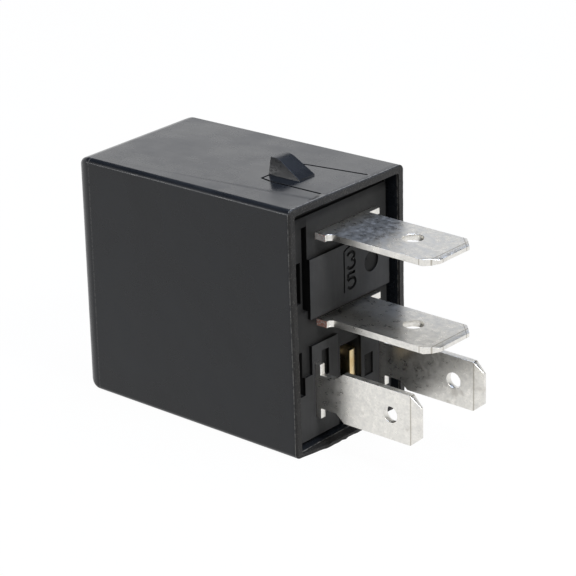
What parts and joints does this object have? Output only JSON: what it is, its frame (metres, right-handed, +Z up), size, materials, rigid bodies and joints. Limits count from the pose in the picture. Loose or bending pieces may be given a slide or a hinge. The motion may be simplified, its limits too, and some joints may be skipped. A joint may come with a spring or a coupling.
{
  "type": "automotive relay",
  "caption": "Plug-in automotive relay with four blade terminals, a push-fit cover with a latch wedge, and a hinged armature switching a normally open contact.",
  "frame": {"origin": "centre of the underside of the cover, the plain long face that the relay lies on", "axes": "+X from the closed end of the cover towards the tips of the blades; +Z up through the face with the latch wedge; -Y is the wide plain side seen in the picture"},
  "size_m": [0.0498, 0.0204, 0.033],
  "materials": {
    "cover_plastic": "moulded glass-filled nylon, satin black",
    "base_plastic": "moulded black, semi-matt",
    "tinned_blade": "tin-plated brass strip, dull bright",
    "plated_steel": "zinc-plated soft iron",
    "rivet_steel": "plated rivet",
    "bobbin_plastic": "natural glass-filled nylon",
    "enamelled_copper": "enamelled copper wire",
    "yellow_tape": "polyester tape",
    "spring_bronze": "rolled spring bronze",
    "silver_contact": "silver alloy, satin",
    "yellow_brass": "rolled brass, plain",
    "resistor_body": "lacquered ceramic",
    "tinned_wire": "tinned wire"
  },
  "bodies": {
    "relay_body": {"cover": "cover_plastic", "base": "base_plastic", "terminal_1": "tinned_blade", "terminal_2": "tinned_blade", "terminal_3": "tinned_blade", "terminal_5": "tinned_blade", "yoke": "plated_steel", "core": "plated_steel", "strip_rivets": "rivet_steel", "spring_rivets": "rivet_steel", "bobbin": "bobbin_plastic", "coil_winding": "enamelled_copper", "coil_tape": "yellow_tape", "fixed_contact": "silver_contact", "stop_contact": "silver_contact", "stop_strip": "yellow_brass", "resistor": "resistor_body", "resistor_leads": "tinned_wire", "coil_lead_start": "enamelled_copper", "coil_lead_finish": "enamelled_copper"},
    "armature_set": {"armature": "plated_steel", "armature_rivets": "rivet_steel", "contact_spring": "spring_bronze", "moving_contact": "silver_contact"}
  },
  "joints": [
    {"name": "armature_hinge", "type": "hinge", "parent": "relay_body", "child": "armature_set", "pos_m": [-0.0114, 0.0009, 0.0257], "axis": [0, -1, 0], "range_deg": [0, 3.2], "stiffness_Nm_per_rad": 0.02, "springref_deg": -2.86, "deforming": ["contact_spring"]}
  ]
}
